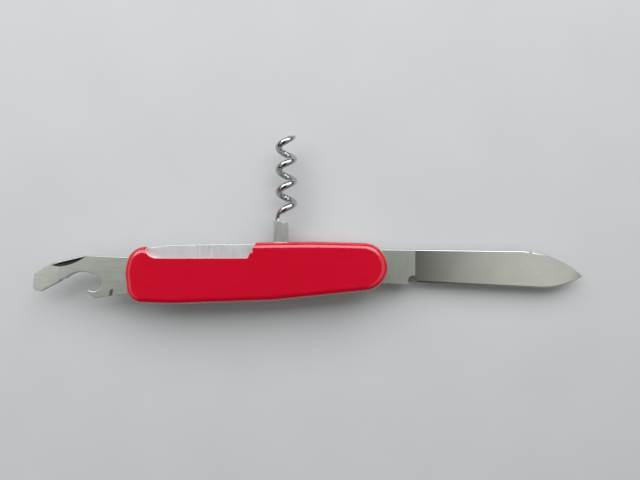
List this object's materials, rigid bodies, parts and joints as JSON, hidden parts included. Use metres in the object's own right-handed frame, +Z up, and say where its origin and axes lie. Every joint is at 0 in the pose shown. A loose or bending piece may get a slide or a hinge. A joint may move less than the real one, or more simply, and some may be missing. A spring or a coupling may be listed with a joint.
{
  "type": "folding pocket knife",
  "caption": "Folding pocket knife with red scales, spear-point blade, combined cap lifter, screwdriver and wire stripper, and a corkscrew on its back, all folded out.",
  "frame": {"origin": "on the lower scale's flat outer face, half-way along the handle and half-way across it", "axes": "+X along the handle to the blade, +Y to the handle's back where the corkscrew is, +Z up through the stack of layers"},
  "size_m": [0.1811, 0.0558, 0.0142],
  "materials": {
    "red_scale": "polished, slightly translucent red plastic",
    "liner": "brushed hard aluminium",
    "spring": "ground spring steel",
    "rivet": "turned brass",
    "steel_pin": "drawn steel",
    "blade": "finely polished stainless steel, satin ricasso",
    "tool": "satin stainless steel",
    "corkscrew": "polished steel wire, satin shank"
  },
  "bodies": {
    "handle": {"scale_lower": "red_scale", "scale_upper": "red_scale", "liner_lower": "liner", "liner_middle": "liner", "liner_upper": "liner", "blade_spring": "spring", "opener_spring": "spring", "blade_rivet": "rivet", "opener_rivet": "rivet", "centre_rivet": "rivet", "corkscrew_rivet": "steel_pin", "blade_collar_lower": "rivet", "blade_collar_upper": "rivet", "opener_collar_lower": "rivet", "opener_collar_upper": "rivet", "centre_collar_lower": "rivet", "centre_collar_upper": "rivet"},
    "blade": {"main_blade": "blade"},
    "opener": {"combination_tool": "tool"},
    "corkscrew": {"corkscrew": "corkscrew"}
  },
  "joints": [
    {"name": "blade_fold", "type": "hinge", "parent": "handle", "child": "blade", "pos_m": [0.0369, -0.0005, 0.00513], "axis": [0, 0, 1], "range_deg": [-175.7, 0]},
    {"name": "opener_fold", "type": "hinge", "parent": "handle", "child": "opener", "pos_m": [-0.0369, -0.00285, 0.00907], "axis": [0, 0, 1], "range_deg": [0, 175]},
    {"name": "corkscrew_fold", "type": "hinge", "parent": "handle", "child": "corkscrew", "pos_m": [0.00746, 0.00617, 0.0071], "axis": [0, 0, 1], "range_deg": [0, 90]}
  ]
}
